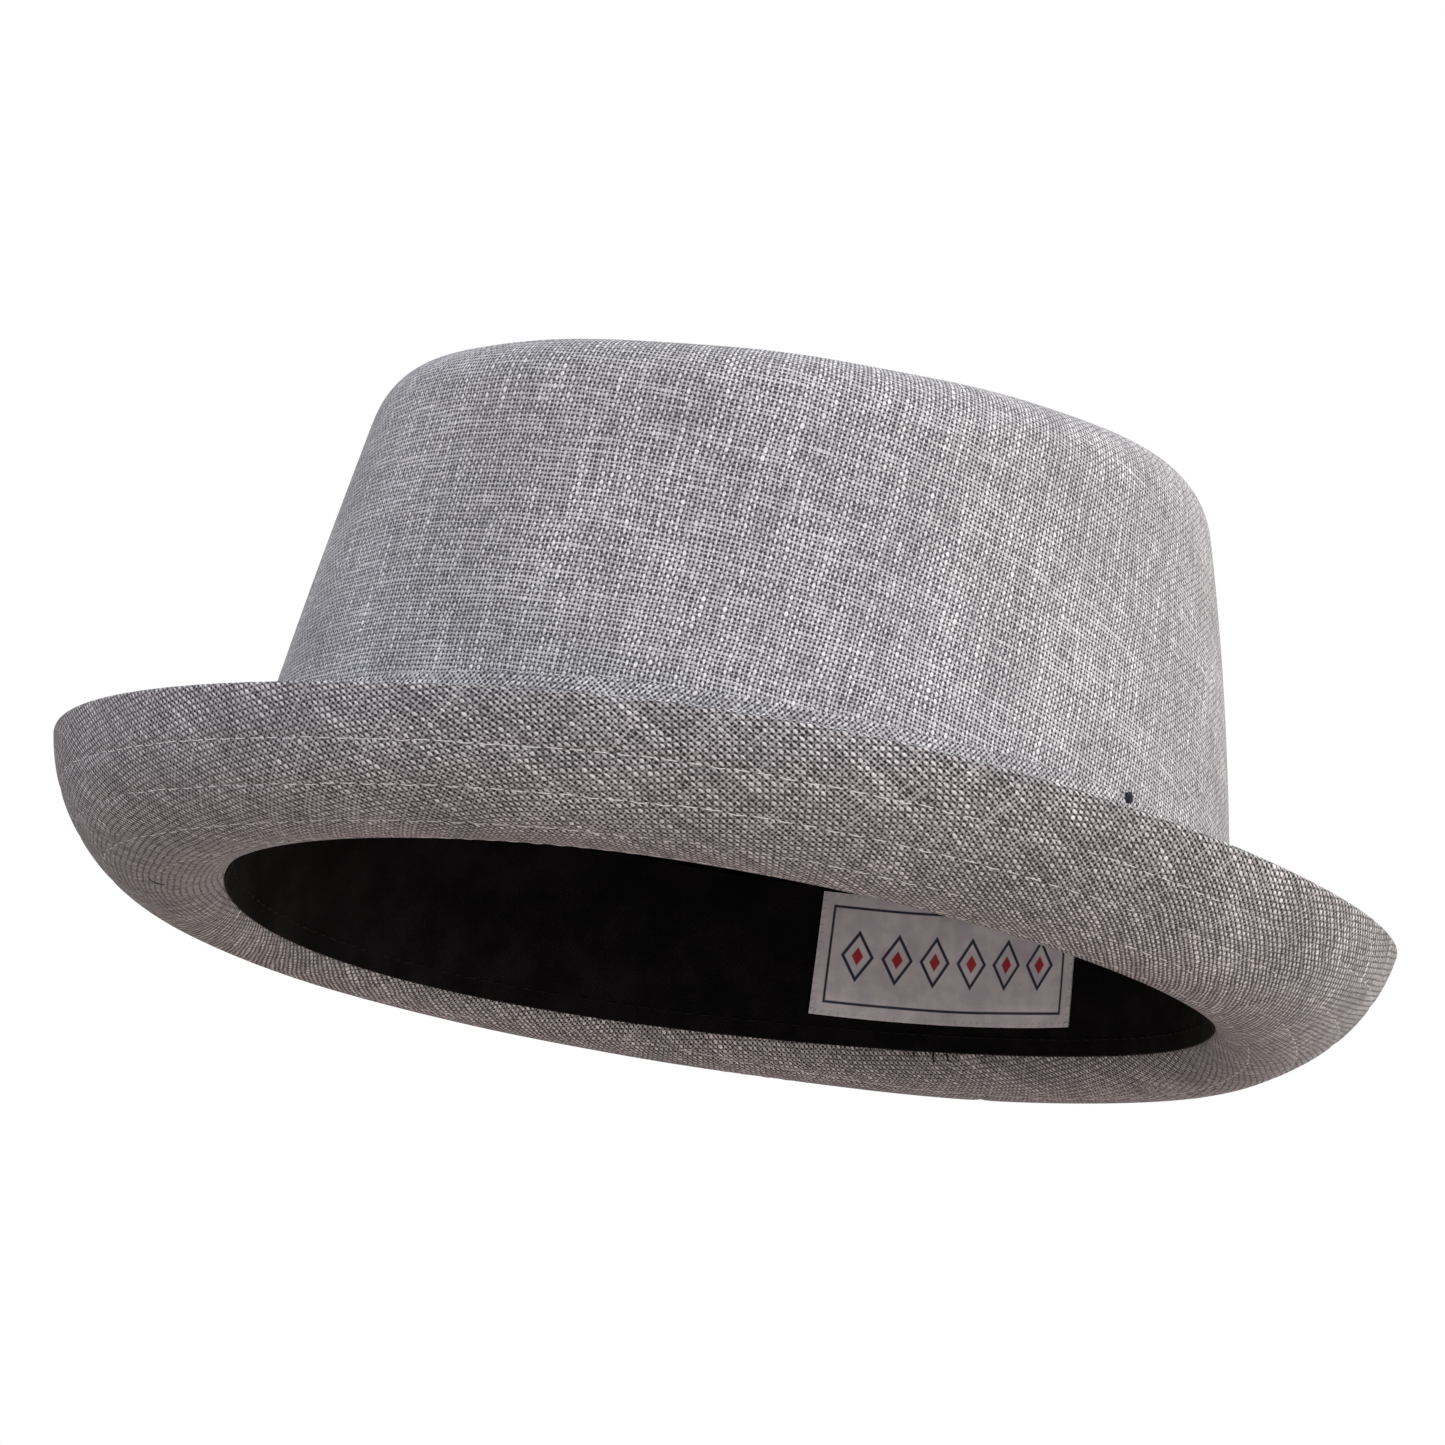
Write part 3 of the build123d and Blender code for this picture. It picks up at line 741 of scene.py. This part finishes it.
# The brim is the crown's cloth cut on the bias, but its colours are darker: painted shade, as its under
# face is lit less
BRIM_SHADED_WARP = ((0.35, 0.34, 0.358), (0.69, 0.674, 0.7))
BRIM_SHADED_WEFT = ((0.145, 0.14, 0.149), (0.36, 0.351, 0.366))
BRIM_SHADED_GAP = (0.014, 0.012, 0.014)
crown_weave = woven("crown_weave", 0, CROWN_WARP, CROWN_WEFT, CROWN_GAP_SHADE)
band_weave = woven("band_weave", 45, CROWN_WARP, CROWN_WEFT, CROWN_GAP_SHADE)
brim_shaded_weave = woven("brim_shaded_weave", BRIM_BIAS, BRIM_SHADED_WARP, BRIM_SHADED_WEFT, BRIM_SHADED_GAP)
# These black cloths are darker than black cotton is: part their own black, part painted shade of the
# hat's inside
lining_black_shaded = black_cloth("lining_black_shaded", 0, (0.004, 0.004, 0.0045), 0.8)
band_black_shaded = black_cloth("band_black_shaded", 1, (0.003, 0.0028, 0.0032), 0.85)
grey_thread = thread_material("grey_thread", (0.3, 0.3, 0.31), (0.62, 0.62, 0.63))
pale_thread = thread_material("pale_thread", (0.56, 0.55, 0.55), (0.84, 0.83, 0.82))
# Darker than black thread is: part its own black, part painted shade of the hat's inside
black_thread = thread_material("black_thread", (0.002, 0.002, 0.002), (0.008, 0.008, 0.009), 0.0)
navy_thread = thread_material("navy_thread", (0.004, 0.005, 0.01), (0.018, 0.022, 0.04), 0.05)
white_thread = thread_material("white_thread", (0.5, 0.52, 0.56), (0.85, 0.86, 0.88))
interlining = stiffener_material("interlining")
label_weave = label_material("label_weave")


def finish_piece(piece, material, slot, *nodes):
    """Gives a piece its material and its body, and hides the CAD nodes it stands for. slot is not used.
    """
    piece.data.materials.append(material)
    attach(piece, "root")
    if nodes:
        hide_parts(*nodes)
    return piece


turn = turns_round()
seam_near = np.exp(-(((math.pi - np.abs(turn)) * HEAD_RADIUS / 0.9) ** 2))

# Brim
brim_out, brim_up, brim_edge = brim_rows(turn)
brim_face = np.stack([brim_out, brim_up])
brim_face = brim_face + np.stack(normals(*brim_face)) * brim_ripple(turn, brim_edge)
brim_normal = np.stack(normals(*brim_face))
brim_round = round_length(turn, 21.0)
pulled = groove(turn, brim_edge) + 0.3 * seam_near * np.clip((OPENING_EDGE - brim_edge) / 4, 0, 1)


def brim_layer(name, low, high, rows, low_pull, high_pull, fold_to):
    """A layer of the brim between two depths above its under face. fold_to is 1 where the edge
    turns up to the middle of the brim, -1 where it turns down, and 0 if it ends flat."""
    face = brim_face[:, rows]
    normal = brim_normal[:, rows]
    pull = pulled[rows]
    along = brim_edge[rows]
    loop = [face + normal * (low + low_pull * pull)]
    loop_along = [along]
    if fold_to:
        bend = np.radians(np.array([15, 35, 55, 75, 88]))[:, None]
        edge_normal = normal[:, -1:]
        edge_along = along_face(edge_normal)
        centre = face[:, -1:] + edge_normal * BRIM_THICKNESS / 2
        outer = BRIM_THICKNESS / 2
        radii = (outer, outer - CLOTH) if fold_to > 0 else (outer - CLOTH, outer)
        for radius, turned in zip(radii, (bend, bend[::-1])):
            away = -fold_to * radius * np.cos(turned)
            loop.append(centre + edge_normal * away + edge_along * radius * np.sin(turned))
            loop_along.append(along[-1:] - radius * turned)
    loop.append((face + normal * (high + high_pull * pull))[:, ::-1])
    loop_along = np.concatenate(loop_along + [along[::-1], along[:1]])
    loop_round = np.broadcast_to(brim_round, loop_along.shape)
    return ring(name, *np.concatenate(loop, axis=1), turn, loop_round, loop_along)


all_rows = slice(None)
short_rows = slice(0, -int(STIFFENER_SETBACK / BRIM_ROW_STEP))
brim_under = brim_layer("brim_under_cloth", 0.0, CLOTH, all_rows, 1.0, 0.3, 1)
brim_stiff = brim_layer(
    "brim_stiffener", STIFFENER_DEPTH, STIFFENER_DEPTH + STIFFENER, short_rows, 0.0, 0.0, 0
)
brim_upper = brim_layer(
    "brim_upper_cloth", THIRD_LAYER_DEPTH, THIRD_LAYER_DEPTH + CLOTH, all_rows, -0.3, -1.0, -1
)
finish_piece(brim_under, brim_shaded_weave, "brim_under_cloth", "brim_under")
finish_piece(brim_stiff, interlining, "interlining", "brim_interlining")
finish_piece(brim_upper, brim_shaded_weave, "brim_upper_cloth", "brim_upper")


def brim_point(angle, edge, depth):
    """The point in mm at an angle in radians, a distance from the brim's edge and a height above
    the under face."""
    column = (angle + math.pi) / (2 * math.pi) * COLUMNS
    left = int(math.floor(column)) % COLUMNS
    share = column - math.floor(column)
    result = 0.0
    for index, weight in ((left, 1 - share), ((left + 1) % COLUMNS, share)):
        distances = brim_edge[::-1, index]
        values = []
        for data in (*brim_face, *brim_normal, pulled):
            values.append(np.interp(edge, distances, data[::-1, index]))
        out, up, away_out, away_up, pull = values
        lifted = depth + (pull if depth <= CLOTH else -pull)
        here = head_point(turn[index], out + away_out * lifted, up + away_up * lifted)
        result = result + weight * here
    return result


def stitch_row(row):
    """A row of lockstitch on both faces of the brim: two threads that dive in at each hole."""
    random = np.random.RandomState(60 + row)
    middle_out = float(np.mean(brim_face[0, -1])) - STITCH_ROWS[row]
    girth = 2 * round_length(math.pi, middle_out)
    count = int(round(girth / STITCH_LENGTH))
    steps = 8
    parts = []

    def sunk(angle):
        loose = np.clip(wave(angle, 0.0, 90 + row, 1.0, 13, 1.0), -0.3, 1)
        return float(0.12 * loose + 0.14 * math.sin(angle) ** 2)

    for lift, face in ((-1, 0.0), (1, BRIM_THICKNESS)):
        points = []
        for stitch in range(count):
            skew = random.uniform(-0.05, 0.3)
            for step in range(steps):
                share = step / steps
                angle = -math.pi + 2 * math.pi * (stitch + share) / count
                wander = row_distance(np.array(angle), row) + skew * math.sin(math.pi * share)
                bow = math.sin(math.pi * share) ** 0.45 if step else 0.0
                height = bow * STITCH_BOW - STITCH_HOLE_DEPTH - sunk(angle)
                depth = face + lift * height
                points.append(brim_point(angle, float(wander), depth))
        parts.append(tube(points, STITCH_THREAD, closed=True))
    name = f"brim_stitches_{row + 1}"
    piece = threads(name, parts)
    return finish_piece(piece, pale_thread, "stitching_thread", f"brim_stitch_row_{row + 1}")


brim_stitches = [stitch_row(row) for row in range(len(STITCH_ROWS))]


# Crown
upper_out, upper_up = brim_face + brim_normal * BRIM_THICKNESS


def brim_top_at(out):
    """The height of the brim's upper face at that distance outside the head opening."""
    rows = slice(8, len(upper_out) // 2)
    heights = []
    for column in range(len(turn)):
        heights.append(np.interp(out, upper_out[rows, column], upper_up[rows, column]))
    return np.array(heights)


crown_foot = brim_top_at(CROWN_FOOT_OUT) + 0.1
crown_out, crown_up = crown_face(turn, crown_foot)
crown_along = lengths(crown_out, crown_up) + crown_foot
crown_x, crown_y = crown_cut(round_length(turn, CROWN_FOOT_OUT), crown_along)
ripple = crown_ripple(turn, crown_along)
ripple = ripple * np.clip((crown_up - 2) / 20, 0, 1) - 0.28 * seam_near


def crown_layer(name, outer, inner, first, wall_bump=0.0):
    """A layer of the crown's side between two depths behind its face, from row first upwards."""
    rows = slice(first, None)
    face = (crown_out[rows], crown_up[rows], turn, crown_x[rows], crown_y[rows])
    return layer_ring(name, *face, -outer, -inner, -(ripple + wall_bump)[rows])


inner_first = int(np.argmax(crown_up[:, 0] > INNER_LAYERS_FOOT))
crown_side = crown_layer("crown_side_cloth", 0.0, CLOTH, 0)
stiffener_back = STIFFENER_DEPTH + STIFFENER
side_stiff = crown_layer("crown_side_stiffener", STIFFENER_DEPTH, stiffener_back, inner_first)
loose = 0.5 + wave(turn, crown_along, 23, 0.4, 9, 14.0)
loose = np.clip(loose, 0.1, 1.2) * np.clip((crown_up - SWEATBAND_TOP) / 15, 0, 1)
loose = loose * np.linspace(1, 0, len(loose))[:, None] ** 0.4
lining_back = THIRD_LAYER_DEPTH + LINING
lining_side = crown_layer(
    "lining_side_cloth", THIRD_LAYER_DEPTH, lining_back, inner_first, -loose
)
finish_piece(crown_side, crown_weave, "crown_cloth", "crown_side")
finish_piece(side_stiff, interlining, "interlining", "crown_side_interlining")
finish_piece(lining_side, lining_black_shaded, "lining", "lining_side")

# The oval tip at the bottom of the crease, and its inner layers
inner_edge = head_point(turn[:-1], crown_out[-1, :-1] - TIP_GAP, crown_up[-1, :-1])
tip_base = inner_edge[:, 2].mean()
tip_tilt = np.polyfit(inner_edge[:, 1], inner_edge[:, 2], 1)[0]
tip_half_length = inner_edge[:, 1].max()
tip_half_width = inner_edge[:, 0].max()


def tip_face(depth):
    def height(x, y):
        inside = 1 - (x / tip_half_width) ** 2 - (y / tip_half_length) ** 2
        crease = 0.1 * np.cos(x / 7.0 + 1.3) * np.cos(y / 9.0) * np.clip(inside * 3, 0, 1)
        return tip_base + tip_tilt * y - depth + TIP_DOME * np.clip(inside, 0, 1) ** 0.8 + crease

    return height


crown_tip = disc("crown_tip_cloth", inner_edge, tip_face(0.0), CLOTH)
tip_stiff = disc("crown_tip_stiffener", inner_edge, tip_face(STIFFENER_DEPTH), STIFFENER)
lining_tip = disc("lining_tip_cloth", inner_edge, tip_face(THIRD_LAYER_DEPTH), LINING)
finish_piece(crown_tip, crown_weave, "crown_tip_cloth", "crown_tip")
finish_piece(tip_stiff, interlining, "interlining", "crown_tip_interlining")
finish_piece(lining_tip, lining_black_shaded, "lining", "lining_tip")


def tip_seam(name, depth, material, slot, node):
    """Stitches round the tip's seam, which is about 50 mm in radius: four points to a stitch."""
    points_round = int(2 * math.pi * 50 / TIP_STITCH) * 4
    angles = np.linspace(0, 2 * math.pi, points_round, endpoint=False)
    out = np.interp(angles - math.pi, turn, crown_out[-1]) - TIP_GAP / 2
    up = np.interp(angles - math.pi, turn, crown_up[-1]) - depth
    phase = np.arange(len(angles)) * math.pi / 2
    points = head_point(angles - math.pi, out + 0.3 * np.sin(phase), up + 0.12 * np.cos(phase))
    piece = threads(name, [tube(points, TIP_THREAD, closed=True)])
    finish_piece(piece, material, slot, node)


tip_seam("crown_tip_stitches", -0.02, grey_thread, "grey_thread", "crown_tip_thread")
tip_seam("lining_tip_stitches", lining_back, black_thread, "black_thread", "lining_tip_thread")

# Back seam: stitches that lie in its groove, from the band up to the tip
place = np.arange(8, 2 * (len(crown_out) - 1)) / 2
near_row = place.astype(int)
rows = np.arange(len(crown_out))
side_out, side_up = normals(crown_out[:, :1], crown_up[:, :1])
dip = 0.33 + 0.14 * np.cos(place * math.pi)
out = np.interp(place, rows, crown_out[:, 0]) + side_out[near_row, 0] * dip
up = np.interp(place, rows, crown_up[:, 0]) + side_up[near_row, 0] * dip
seam_points = head_point(math.pi, out, up)
back_seam = threads("back_seam_stitches", [tube(seam_points, SEAM_THREAD)])
finish_piece(back_seam, grey_thread, "grey_thread", "back_seam_thread")

# Hatband: a folded bias strip, with its top edge rounded
band_foot = brim_top_at(CROWN_FOOT_OUT + GAP + HATBAND) + 0.15
band_out, band_up = crown_face(turn, band_foot, BAND_TOP + 0.25 * np.sin(5 * turn + 1.0), 44)
band_along = lengths(band_out, band_up) + band_foot
band_ripple = crown_ripple(turn, band_along) * np.clip((band_up - 2) / 20, 0, 1)
band_face = (band_out, band_up, turn, round_length(turn, 1.0), band_along)
hatband = layer_ring("hatband_cloth", *band_face, GAP + HATBAND, GAP, -band_ripple)
finish_piece(hatband, band_weave, "hatband_cloth", "hatband")

# Tack: a small knot of navy thread near the band's top edge, at the wearer's left
tack_turn = math.radians(TACK_TURN)
tack_out = float(wall_out(tack_turn, TACK_HEIGHT)) + GAP + HATBAND
knot = []
share = np.linspace(-1, 1, 7)
for lean, rise, height in ((1.1, 0.5, 0.2), (0.9, -0.75, 0.35), (0.3, 1.1, 0.45), (-0.9, 0.2, 0.4)):
    angle = tack_turn + share * lean / HEAD_RADIUS
    out = tack_out + height * (1 - share**2) - 0.1
    knot.append(tube(head_point(angle, out, TACK_HEIGHT + share * rise), KNOT_THREAD))
band_tack = threads("hatband_tack_knot", knot)
finish_piece(band_tack, navy_thread, "tack_thread", "hatband_tack")

# Sweatband
sweat_foot = rim_up(turn) - 0.4
sweat_out, sweat_up = crown_face(turn, sweat_foot, SWEATBAND_TOP, 40)
sweat_along = lengths(sweat_out, sweat_up)
sweat_ripple = 0.12 * wave(turn, sweat_along, 31, 1.0, 20, 8.0) * np.clip(sweat_along / 8, 0, 1)
sweat_face = (sweat_out, sweat_up, turn, round_length(turn, 0.0), sweat_along)
sweatband = layer_ring(
    "sweatband_cloth", *sweat_face, SWEATBAND - WALL_DEPTH, -WALL_DEPTH, sweat_ripple
)
finish_piece(sweatband, band_black_shaded, "sweatband", "sweatband")

# Black stitches along the sweatband's foot, and the few tacks that cross onto the brim at the back
stitches = []
share = np.linspace(0, 1, 5)
for stitch in range(SWEATBAND_STITCHES):
    angle = -math.pi + 2 * math.pi * (stitch + 0.1 + 0.8 * share) / SWEATBAND_STITCHES
    up = rim_up(angle) + 2.4
    out = wall_out(angle, up) - WALL_DEPTH + 0.02 - 0.22 * np.sin(math.pi * share)
    stitches.append(tube(head_point(angle, out, up), SEAM_THREAD, sides=5))
sweat_thread = threads("sweatband_stitches", stitches)
finish_piece(sweat_thread, black_thread, "black_thread", "sweatband_thread")

tacks = []
for degrees, length, lean in RIM_TACKS:
    points = []
    base = math.radians(degrees)
    for share in np.linspace(0, 1, 6):
        angle = (base + share * lean / HEAD_RADIUS + math.pi) % (2 * math.pi) - math.pi
        edge = RIM_TACK_START - share * length
        points.append(brim_point(angle, edge, -0.12 - 0.25 * math.sin(math.pi * share)))
    tacks.append(tube(points, TACK_THREAD))
rim_tacks = threads("rim_tacks", tacks)
finish_piece(rim_tacks, black_thread, "black_thread")

# A dark slub in the brim's under cloth, at the wearer's right in front
slub_turn = math.radians(SLUB_TURN) - 2 * math.pi
slub_points = []
for share in np.linspace(0, 1, 8):
    edge = SLUB_ENDS[0] + (SLUB_ENDS[1] - SLUB_ENDS[0]) * share
    slub_points.append(brim_point(slub_turn, edge, -0.02 - 0.05 * math.sin(math.pi * share)))
brim_slub = threads("brim_slub", [tube(slub_points, SLUB_THREAD)])
finish_piece(brim_slub, navy_thread, "brim_under_cloth")

# Woven label at the back of the sweatband
label_mid = (LABEL_FOOT + LABEL_TOP) / 2
label_x = np.linspace(-LABEL_HALF_WIDTH, LABEL_HALF_WIDTH, 90)
label_y = np.linspace(LABEL_FOOT, LABEL_TOP, 36) - label_mid


def label_point(x, y, lift):
    angle = math.pi - x / HEAD_HALF_WIDTH
    up = y + label_mid
    return head_point(angle, wall_out(angle, up) - WALL_DEPTH - lift, up)


def label_lift(x, y):
    """The label lies loose between its stitched edges, so it bows a little off the band."""
    inside = np.clip((LABEL_HALF_WIDTH - np.abs(x)) / 6, 0, 1)
    inside = inside * np.clip((LABEL_HALF_HEIGHT - np.abs(y)) / 4, 0, 1)
    wrinkle = 0.25 * np.sin(x / 6.5 + y / 9.0) + 0.2 * np.cos(x / 3.7 - y / 5.0 + 0.8)
    return 0.22 + inside * (0.35 + wrinkle)


grid_x, grid_y = np.meshgrid(label_x, label_y)
lift = label_lift(grid_x, grid_y)
front_points = label_point(grid_x, grid_y, lift + LABEL).reshape(-1, 3)
back_points = label_point(grid_x, grid_y, lift).reshape(-1, 3)
front = np.arange(grid_x.size).reshape(grid_x.shape)
back = front + front.size
ends = [(back[0], front[0]), (front[-1], back[-1])]
ends = ends + [(front[:, 0], back[:, 0]), (back[:, -1], front[:, -1])]
label_faces = np.concatenate([quads(np.array(grid)) for grid in [front, back[::-1]] + ends])
flat = np.stack([grid_x, grid_y], axis=-1).reshape(-1, 2)
label_points = np.concatenate([front_points, back_points])
label = make_mesh("label_cloth", label_points, label_faces.tolist(), flat[label_faces % front.size])
finish_piece(label, label_weave, "label", "woven_label")

# Whip stitches round the label's edges
whips = []
random = np.random.RandomState(77)


def whip(x, y, toward_x, toward_y):
    """One short stitch just inside the label's edge."""
    share = np.linspace(0, 1, 5)
    lift = 0.42 + 0.18 * np.sin(math.pi * share)
    points = label_point(x + toward_x * share, y + toward_y * share, lift)
    whips.append(tube(points, LABEL_THREAD, sides=5))


for x in np.arange(-LABEL_HALF_WIDTH + 0.8, LABEL_HALF_WIDTH - 0.4, 1.6):
    slant = random.uniform(0.2, 0.7)
    whip(x, -LABEL_HALF_HEIGHT + 0.1, slant, 0.9)
    whip(x, LABEL_HALF_HEIGHT - 0.1, -slant, -0.9)
for y in np.arange(-LABEL_HALF_HEIGHT + 0.8, LABEL_HALF_HEIGHT - 0.4, 1.6):
    slant = random.uniform(0.2, 0.7)
    whip(-LABEL_HALF_WIDTH + 0.1, y, 0.9, slant)
    whip(LABEL_HALF_WIDTH - 0.1, y, -0.9, -slant)
label_stitches = threads("label_stitches", whips)
finish_piece(label_stitches, white_thread, "label_thread", "label_thread")

# Floor, light and camera
floor_mesh = bpy.data.meshes.new("floor")
builder = bmesh.new()
bmesh.ops.create_grid(builder, x_segments=4, y_segments=4, size=6.0)
builder.to_mesh(floor_mesh)
builder.free()
floor = bpy.data.objects.new("floor", floor_mesh)
bpy.context.collection.objects.link(floor)
floor.location = (0, 0, -0.45)
floor.data.materials.append(floor_material("floor_paper"))


LIGHT_AIM = Vector((0.0, 0.0, 0.05))


def area_light(name, place, size, power, tint):
    light = bpy.data.lights.new(name, "AREA")
    light.shape = "DISK"
    light.size = size
    light.energy = power
    light.color = tint
    lamp = bpy.data.objects.new(name, light)
    bpy.context.collection.objects.link(lamp)
    lamp.location = place
    lamp.rotation_euler = (LIGHT_AIM - Vector(place)).to_track_quat("-Z", "Y").to_euler()


area_light("side_back_light", (1.3, 1.2, 0.5), 1.0, 12.0, (1.0, 0.96, 0.88))
area_light("side_light", (1.9, -0.2, -0.12), 0.85, 14.0, (1.0, 0.93, 0.87))
area_light("front_light", (0.3, -1.8, 0.9), 1.0, 15.0, (0.98, 0.97, 1.0))
area_light("back_top_light", (-0.3, 1.3, 1.5), 1.0, 9.0, (1.0, 0.98, 0.96))

# The room is white, but darker and cooler low down in front, on the wearer's right
COOL_SIDE = (-0.75, -0.6, -0.45)
bpy.context.scene.world = bpy.data.worlds.new("studio")
sky = Nodes(bpy.context.scene.world)
sky_place = sky.add("ShaderNodeTexCoord").outputs["Generated"]
sky_side = sky.add("ShaderNodeVectorMath", {0: sky_place, 1: COOL_SIDE}, operation="DOT_PRODUCT")
sky_share = sky.add("ShaderNodeMapRange", {0: sky_side.outputs["Value"], 1: 0.0, 2: 0.8})
sky_colour = sky.mix(sky_share.outputs[0], colour(1.0, 1.0, 1.0), colour(0.58, 0.63, 0.74))
background = sky.tree.nodes["Background"]
sky.feed(sky_colour, background.inputs["Color"])
background.inputs["Strength"].default_value = 1.0
bpy.context.scene.view_settings.view_transform = "Standard"
bpy.context.scene.view_settings.look = "None"

AZIMUTH = math.radians(27.779)
ELEVATION = math.radians(-11.953)
ROLL = math.radians(8.193)
DISTANCE = 1463.91
AIM_HEIGHT = 41.53
AIM_SIDE = -6.01
level_share = math.cos(ELEVATION)
back_axis = Vector(
    (math.sin(AZIMUTH) * level_share, -math.cos(AZIMUTH) * level_share, math.sin(ELEVATION))
)
level = (-back_axis).cross(Vector((0, 0, 1))).normalized()
upright = level.cross(-back_axis)
right_axis = level * math.cos(ROLL) + upright * math.sin(ROLL)
up_axis = upright * math.cos(ROLL) - level * math.sin(ROLL)
aim = Vector((0, 0, AIM_HEIGHT + RIM_HEIGHT)) + level * AIM_SIDE
camera_data = bpy.data.cameras.new("camera")
camera = bpy.data.objects.new("camera", camera_data)
bpy.context.collection.objects.link(camera)
camera_data.sensor_width = 36.0
camera_data.lens = 201.17
camera_data.clip_start = 0.05
camera_data.clip_end = 20.0
place = (aim + back_axis * DISTANCE) * MM
turned = Matrix((right_axis, up_axis, back_axis)).transposed().to_4x4()
camera.matrix_world = Matrix.Translation(place) @ turned
bpy.context.scene.camera = camera
